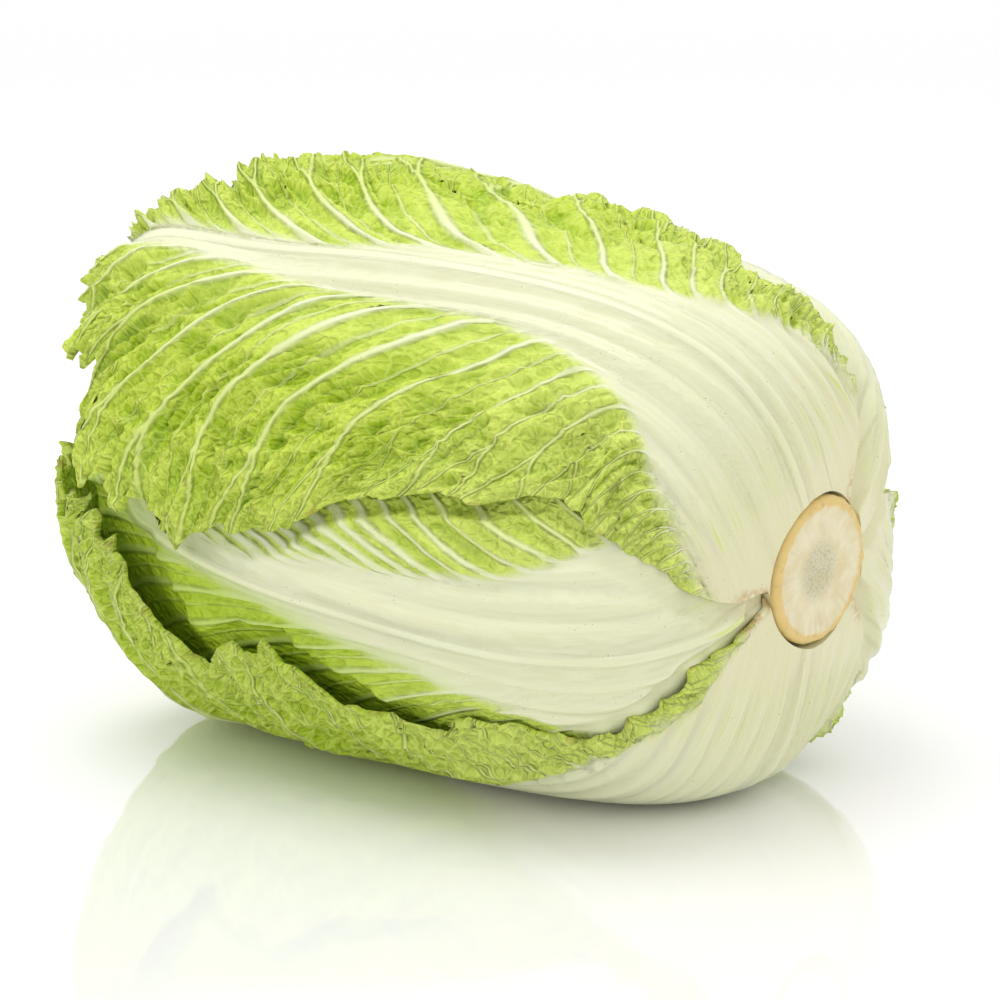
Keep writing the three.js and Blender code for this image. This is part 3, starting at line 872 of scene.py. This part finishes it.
# %% Shape the cut stem
flat = points_of(stem)
radius = np.hypot(flat[:, 0], flat[:, 1])
turn = np.arctan2(flat[:, 1], flat[:, 0])
steps = np.rint(-flat[:, 2]).astype(int)
wall = np.array([FACE_RINGS[0]] + WALL_RINGS)
face_radii, face_depths = np.array(FACE_RINGS[::-1]).T
on_face = steps == 0
depth_of = np.where(on_face, np.interp(radius, face_radii, face_depths), wall[steps, 1])
radius = np.where(on_face, radius, wall[steps, 0])
worn = ripples(turn * 2.2, 0.0, 11) + 0.5 * ripples(turn * 6, 0.0, 12)
radius *= 1 + ROUNDNESS_ERROR * worn * ease((radius - 8) / 8)
depth_of += FACE_UNEVENNESS * ripples(flat[:, 0] / 7, flat[:, 1] / 7, 13) * on_face
depth_of += RIM_UNEVENNESS * worn * ease((radius - 16) / 2) * on_face
stem_x = STEM_FACE_X - FACE_INSET + depth_of
points = np.stack([stem_x, STEM_Y + radius * np.cos(turn), STEM_Z + radius * np.sin(turn)], axis=-1)
set_points(stem, to_frame(points))
set_mark(stem, "from_middle", radius)
set_mark(stem, "depth", depth_of)
set_mark(stem, "cut_place", np.stack([np.cos(turn) * radius, np.sin(turn) * radius, turn * 20], axis=-1))
close_up(stem)
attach(stem, "root")
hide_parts("cut_stem")
print(stem.name, len(stem.data.polygons), "faces")

# %% [markdown]
# ## Materials written as sums
# A material is a sum of few ideas: white rib, pale veins, green blade, painted shade in the
# pockets. Writing it with + and * keeps those ideas in view. The small class below wraps a socket, so that
# each
# operator adds the Math node that it stands for. The few other nodes that every material here
# needs are its methods.

# %% A class for shader maths


class Wire:
    """A socket of a material's nodes that Python's operators work on."""

    def __init__(self, tree, socket=None):
        self.tree = tree
        self.socket = socket

    def node(self, kind, settings=None, inputs=None, output=0):
        """Adds a node, with its settings set first, and gives one of its outputs."""
        made = self.tree.nodes.new(kind)
        for name, value in (settings or {}).items():
            setattr(made, name, value)
        for name, value in (inputs or {}).items():
            if isinstance(value, Wire):
                self.tree.links.new(value.socket, made.inputs[name])
            else:
                made.inputs[name].default_value = value
        return Wire(self.tree, made.outputs[output]) if len(made.outputs) else None

    def math(self, operation, *values):
        return self.node("ShaderNodeMath", {"operation": operation}, dict(enumerate(values)))

    def __add__(self, other):
        return self.math("ADD", self, other)

    __radd__ = __add__

    def __mul__(self, other):
        return self.math("MULTIPLY", self, other)

    __rmul__ = __mul__

    def __sub__(self, other):
        return self.math("SUBTRACT", self, other)

    def __rsub__(self, other):
        return self.math("SUBTRACT", other, self)

    def __truediv__(self, other):
        return self.math("DIVIDE", self, other)

    def __rtruediv__(self, other):
        return self.math("DIVIDE", other, self)

    def __mod__(self, other):
        return self.math("FLOORED_MODULO", self, other)

    def __abs__(self):
        return self.math("ABSOLUTE", self)

    def or_more(self, other):
        """The larger of two values."""
        return self.math("MAXIMUM", self, other)

    def step(self, low, high):
        """A smooth step from 0 at low to 1 at high."""
        settings = {"interpolation_type": "SMOOTHSTEP"}
        return self.node("ShaderNodeMapRange", settings, {"Value": self, "From Min": low, "From Max": high})

    def mix(self, color, other):
        """A mix of two colours, with this as the share of the second."""
        return self.node("ShaderNodeMix", {"data_type": "RGBA"}, {0: self, 6: color, 7: other}, 2)

    def mark(self, name, output="Fac"):
        """A number, or with output Vector a vector, that the points of the mesh carry."""
        return self.node("ShaderNodeAttribute", {"attribute_name": name}, output=output)

    def noise(self, place, scale, detail=2.0, output="Fac"):
        inputs = {"Vector": place, "Scale": scale, "Detail": detail}
        return self.node("ShaderNodeTexNoise", {}, inputs, output)

    def net(self, place, scale):
        """The distance from the lines of an irregular flat net, of about 1 to a mesh."""
        settings = {"feature": "DISTANCE_TO_EDGE", "voronoi_dimensions": "2D"}
        inputs = {"Vector": place, "Scale": scale, "Randomness": 0.95}
        return self.node("ShaderNodeTexVoronoi", settings, inputs, "Distance")

    def finish(self, inputs, height=None, strength=0.5, depth=0.5):
        """Ends a material in one shader, with a bump of height times depth, in millimetres."""
        if height is not None:
            bump = {"Strength": strength, "Distance": depth * MM, "Height": height}
            inputs = {**inputs, "Normal": self.node("ShaderNodeBump", {}, bump)}
        shader = self.node("ShaderNodeBsdfPrincipled", {}, inputs)
        self.node("ShaderNodeOutputMaterial", {}, {"Surface": shader})


def color(red, green, blue):
    """A colour from the 0 to 255 that a picture shows, as the light that it stands for."""
    def light(value):
        share = value / 255
        return share / 12.92 if share < 0.04045 else ((share + 0.055) / 1.055) ** 2.4
    return (light(red), light(green), light(blue), 1)


def new_material(name):
    material = bpy.data.materials.new(name)
    material.use_nodes = True
    material.node_tree.nodes.clear()
    return material, Wire(material.node_tree)


print("a leaf green:", [round(x, 3) for x in color(186, 212, 91)])

# %% [markdown]
# ## The leaf finish
# The rib and the strands in it are ivory, a little yellower toward the stem. The veins carry
# that white out into the blade. The blade is a fresh yellow-green, with painted light where it
# bulges and painted shade in its pockets and creases, and a finer net than the mesh holds is
# drawn and raised by the shader.
# The leaf at the bottom shows that net most. Blade and rib let some light in, so both have a
# little subsurface scattering.

# %% Veins and nets in the shader
BROWN = color(150, 98, 40)
TAN = color(196, 152, 88)
LEAF_GLOW = (0.9, 1.0, 0.35)


@dataclass
class LeafColors:
    """The greens of a blade, light to dark with the darkest as painted shade, and the whites of veins and
    rib.
    """

    pale: tuple
    bright: tuple
    mid: tuple
    shade_green: tuple
    veins: tuple
    white: tuple
    cream: tuple


def vein_at(wires, offset, width):
    """1 on each vein of the family of lines that starts at offset, falling to 0 past its width."""
    off = abs((wires.mark("line") - offset) % VEIN_SPACING - VEIN_SPACING / 2)
    return 1 - (abs(off - wires.mark("fork")) / width).step(0.2, 1.1)


def all_veins(wires):
    """The side veins, and the weaker ones midway between them."""
    width, second = wires.mark("vein_width"), wires.mark("second")
    weaker = vein_at(wires, FIRST_VEIN, width * second) * second
    return vein_at(wires, FIRST_VEIN - VEIN_SPACING / 2, width).or_more(weaker)


def wandering(wires, place):
    """Places that wander a little, so that the nets on them aren't straight."""
    sway = wires.noise(place, 0.25, 2.0, "Color")
    inputs = {0: sway, 1: (1.8, 1.8, 0.0), 2: place}
    return wires.node("ShaderNodeVectorMath", {"operation": "MULTIPLY_ADD"}, inputs)


print("veins are", VEIN_SPACING, "degrees apart")

# %% The colours of a leaf
PALE_NEAR_STEM = 0.6
PALE_AT_MARGIN = 0.3


def blade_green(wires, colors, mottle, edge, coarse, fine):
    """The green between veins: painted light on bulges, painted shade in pockets and creases, and a pale
    net.
    """
    out, far, netted = wires.mark("out"), wires.mark("along"), wires.mark("netted")
    coarse_line = 1 - (coarse * (1 - netted * 0.5)).step(0.0, 0.07)
    fine_line = 1 - (fine * (1 - netted * 0.4)).step(0.0, 0.12)
    lines = (coarse_line * 0.6).or_more(fine_line * 0.35) * (out * 0.4 + netted * 0.5 + 0.65)
    painted_hollow_shade = 1 - wires.mark("crumple") * 0.6 - wires.mark("wrinkle") * 0.2 - mottle * 0.2
    # Painted light and shade: crests of the crumples lighter, their hollows mid then shade green, the tone
    # varied by a random mottle
    green = painted_hollow_shade.step(0.15, 0.85).mix(colors.bright, colors.mid)
    green = (painted_hollow_shade.step(0.5, 1.0) * mottle.step(0.35, 0.65) * 0.45).mix(green, colors.shade_green)
    # Painted shade: shade green in the creases beside the veins
    green = (wires.mark("crease").step(0.55, 1.0) * 0.75).mix(green, colors.shade_green)
    green = (netted * 0.5).mix(green, colors.mid)
    green = (lines * 0.8).mix(green, colors.pale)
    green = ((1 - edge.step(0.5, 22.0)) * 0.45).mix(green, colors.pale)
    green = ((1 - far.step(50.0, 86.0)) * PALE_NEAR_STEM).mix(green, colors.pale)
    return (out.step(0.72, 1.0) * PALE_AT_MARGIN).mix(green, colors.pale)


def rib_ivory(wires, colors, stripes):
    """The white of the rib, creamier between its strands and toward the stem."""
    ivory = stripes.step(0.3, 0.8) * 0.25 + (1 - wires.mark("strand")) * 0.2
    ivory = ivory.mix(colors.white, colors.cream)
    return ((1 - wires.mark("along").step(8.0, 40.0)) * 0.6).mix(ivory, colors.cream)


def blemished(wires, colors, paint, place, by_strand, green_here):
    """The paint of a leaf with green streaks low on its rib, tan scars, and brown spots and rims."""
    out, far = wires.mark("out"), wires.mark("along")
    streaks = wires.noise(by_strand, 1.6, 1.0).step(0.58, 0.68) * far.step(15.0, 20.0)
    paint = (streaks * (1 - far.step(25.0, 33.0)) * (1 - green_here) * 0.6).mix(paint, colors.bright)
    scar = out.step(0.78, 0.95) * (1 - far.step(7.5, 10.5)) * wires.noise(place, 0.5).step(0.35, 0.6)
    paint = (scar * 0.7).mix(paint, TAN)
    spots = wires.noise(place, 2.3, 0.0).step(0.77, 0.82) * wires.noise(place, 0.16, 1.0).step(0.55, 0.62)
    paint = (spots * 0.75).mix(paint, BROWN)
    burnt = out.step(0.96, 1.03) * wires.noise(place, 0.2).step(0.54, 0.66) * green_here
    return (burnt * 0.5).mix(paint, BROWN)


print("the green pales by", PALE_NEAR_STEM, "near the stem and by", PALE_AT_MARGIN, "at the margins")

# %% The leaf material
def leaf_material(name, colors):
    material, wires = new_material(name)
    place, by_strand = wires.mark("leaf_place", "Vector"), wires.mark("by_strand", "Vector")
    bent = wandering(wires, place)
    coarse, fine = wires.net(bent, 0.17), wires.net(bent, 0.42)
    mottle, stripes = wires.noise(place, 0.07, 3.0), wires.noise(by_strand, 1.0, 2.0)
    vein, out = all_veins(wires), wires.mark("out")

    # White runs from the rib out to the margins near the stem, and green starts between the veins
    edge = wires.mark("past_white") + (mottle - 0.5) * 3 - vein * 1.2
    green_here = edge.step(-1.0, 1.6)
    ivory = rib_ivory(wires, colors, stripes)
    paint = green_here.mix(ivory, blade_green(wires, colors, mottle, edge, coarse, fine))
    vein_paint = out.step(0.1, 0.65).mix(colors.white, colors.veins)
    paint = (vein * (0.97 - out.step(0.5, 1.05) * 0.6) * green_here).mix(paint, vein_paint)
    paint = (wires.mark("shaded") * 0.75).mix(paint, colors.mid)
    paint = blemished(wires, colors, paint, place, by_strand, green_here)

    quilted = coarse.step(0.0, 0.45) * -1.3 - fine.step(0.0, 0.42) * 0.7
    quilted = quilted * (out.step(0.2, 0.75) * 0.55 + 0.45) * (1 - vein)
    raised = quilted + wires.noise(bent, 0.9, 3.0) * 0.12 + vein * 0.7
    wires.finish({
        "Base Color": paint,
        "Roughness": green_here * 0.16 + stripes * 0.1 + 0.24,
        "IOR": 1.38,
        "Subsurface Weight": 0.15,
        "Subsurface Radius": LEAF_GLOW,
        "Subsurface Scale": 0.0025,
        "Coat Weight": 0.4 - green_here * 0.36,
        "Coat Roughness": 0.2,
    }, raised * green_here + stripes * 0.12, 0.9, 0.9)
    return material


outer_finish = leaf_material("outer_leaf_finish", LeafColors(
    pale=color(218, 234, 116), bright=color(204, 224, 76), mid=color(174, 204, 30),
    shade_green=color(120, 160, 2), veins=color(220, 231, 146), white=color(234, 237, 203),
    cream=color(224, 217, 168)))
inner_finish = leaf_material("inner_leaf_finish", LeafColors(
    pale=color(236, 240, 178), bright=color(226, 232, 142), mid=color(204, 216, 98),
    shade_green=color(168, 188, 60), veins=color(240, 241, 206), white=color(240, 239, 212),
    cream=color(230, 225, 184)))
for piece in leaf_pieces:
    piece.data.materials.append(outer_finish if piece.name.startswith("outer") else inner_finish)
print(len(leaf_pieces), "leaves painted")

# %% [markdown]
# ## Heart and cut
# The folded tips of the heart saw little light, so they are pale yellow. The cut face of the stem
# shows fibres that run out from a speckled pith, inside a drying tan rim.

# %% The heart and stem materials


def heart_material():
    material, wires = new_material("heart_finish")
    place = wires.node("ShaderNodeTexCoord", output="Object")
    blotch = wires.noise(place, 90.0, 3.0)
    settings = {"feature": "DISTANCE_TO_EDGE"}
    lines = wires.node("ShaderNodeTexVoronoi", settings, {"Vector": place, "Scale": 160.0}, "Distance")
    line = 1 - lines.step(0.0, 0.15)
    paint = blotch.step(0.35, 0.65).mix(color(240, 240, 176), color(216, 224, 124))
    paint = (line * 0.5).mix(paint, color(244, 243, 206))
    wires.finish({
        "Base Color": paint,
        "Roughness": blotch * 0.15 + 0.38,
        "Subsurface Weight": 0.25,
        "Subsurface Radius": LEAF_GLOW,
        "Subsurface Scale": 0.0035,
    }, line * 0.6 + blotch * 0.4, 0.5, 0.8)
    return material


def stem_material():
    material, wires = new_material("cut_stem_finish")
    radius, depth = wires.mark("from_middle"), wires.mark("depth")
    place = wires.mark("cut_place", "Vector")
    flat = wires.node("ShaderNodeVectorMath", {"operation": "MULTIPLY"}, {0: place, 1: (1.0, 1.0, 0.0)})
    fan = wires.node("ShaderNodeVectorMath", {"operation": "MULTIPLY"}, {0: place, 1: (0.03, 0.03, 1.0)})
    cloud, grain, fibres = wires.noise(flat, 0.16), wires.noise(flat, 1.3, 4.0), wires.noise(fan, 0.5, 3.0)
    paint = cloud.step(0.3, 0.7).mix(color(238, 229, 196), color(227, 213, 168))
    paint = (fibres.step(0.5, 0.7) * radius.step(8.0, 15.0) * 0.35).mix(paint, color(212, 196, 150))
    pith = 1 - (radius + (cloud - 0.5) * 5).step(4.5, 9.5)
    paint = (pith * (grain.step(0.5, 0.62) * 0.5 + 0.35)).mix(paint, color(176, 178, 148))
    ring = (radius + (wires.noise(flat, 0.5) - 0.5) * 2.4).step(15.6, 16.9) * depth.step(-2.6, -1.5)
    paint = (ring * 0.8).mix(paint, color(228, 195, 108))
    burn = ring * wires.noise(flat, 0.4, 3.0).step(0.55, 0.7)
    paint = (burn * 0.3).mix(paint, color(186, 138, 70))
    wires.finish({
        "Base Color": paint,
        "Roughness": grain * 0.15 + 0.45,
        "Subsurface Weight": 0.2,
        "Subsurface Radius": (1.0, 0.8, 0.5),
        "Subsurface Scale": 0.003,
    }, fibres * 0.5 + grain * 0.5, 0.5, 0.5)
    return material


heart.data.materials.append(heart_material())
stem.data.materials.append(stem_material())
print("heart and stem painted")

# %% [markdown]
# ## Floor, light and camera
# The cabbage lies on a white glossy floor, wide enough to fill the view. Even white light comes
# from all round, and one large soft light from above and a little to the left models the ribs.

# %% The floor
FLOOR_SIZE = 60
FLOOR_GAP = 0.2
deselect_all()
bpy.ops.mesh.primitive_plane_add(size=FLOOR_SIZE, location=(0, 0, -FLOOR_GAP * MM))
floor = bpy.context.object
floor.name = "floor"
material, wires = new_material("floor_finish")
wires.finish({"Base Color": (0.97, 0.97, 0.97, 1), "Roughness": 0.06, "IOR": 2.1})
floor.data.materials.append(material)
print("a floor", FLOOR_SIZE, "m across")

# %% Light
LIT_PLACE = Vector((0, 0, 0.08))
world = bpy.data.worlds.new("white_room")
bpy.context.scene.world = world
world.use_nodes = True
room = world.node_tree.nodes["Background"]
room.inputs["Color"].default_value = (1, 1, 1, 1)
room.inputs["Strength"].default_value = 1.0


def soft_light(name, place, size, power):
    deselect_all()
    bpy.ops.object.light_add(type="AREA", location=place)
    light = bpy.context.object
    light.name = name
    light.data.shape = "DISK"
    light.data.size = size
    light.data.energy = power
    light.rotation_euler = (LIT_PLACE - Vector(place)).to_track_quat("-Z", "Y").to_euler()


soft_light("key", (-0.25, -0.2, 1.4), 0.9, 6)
print("one room and one key light")

# %% The camera
CAMERA_AZIMUTH = 40.88
CAMERA_ELEVATION = 12.97
CAMERA_ROLL = 0.07
CAMERA_DISTANCE = 0.8
TARGET_FROM_MIDDLE = Vector((-0.79, 0.32, -0.63))
CAMERA_TARGET = (Vector(shift) + TARGET_FROM_MIDDLE) * MM
LENS = 109
SENSOR_WIDTH = 36
azimuth, elevation = math.radians(CAMERA_AZIMUTH), math.radians(CAMERA_ELEVATION)
back = Vector((
    math.sin(azimuth) * math.cos(elevation),
    -math.cos(azimuth) * math.cos(elevation),
    math.sin(elevation),
))
bpy.ops.object.camera_add(location=CAMERA_TARGET + back * CAMERA_DISTANCE)
camera = bpy.context.object
roll = Matrix.Rotation(math.radians(CAMERA_ROLL), 4, "Z")
camera.rotation_euler = ((-back).to_track_quat("-Z", "Y").to_matrix().to_4x4() @ roll).to_euler()
camera.data.lens = LENS
camera.data.sensor_width = SENSOR_WIDTH
bpy.context.scene.camera = camera
bpy.context.scene.view_settings.view_transform = "Standard"
print("camera at", [round(x, 3) for x in camera.location])
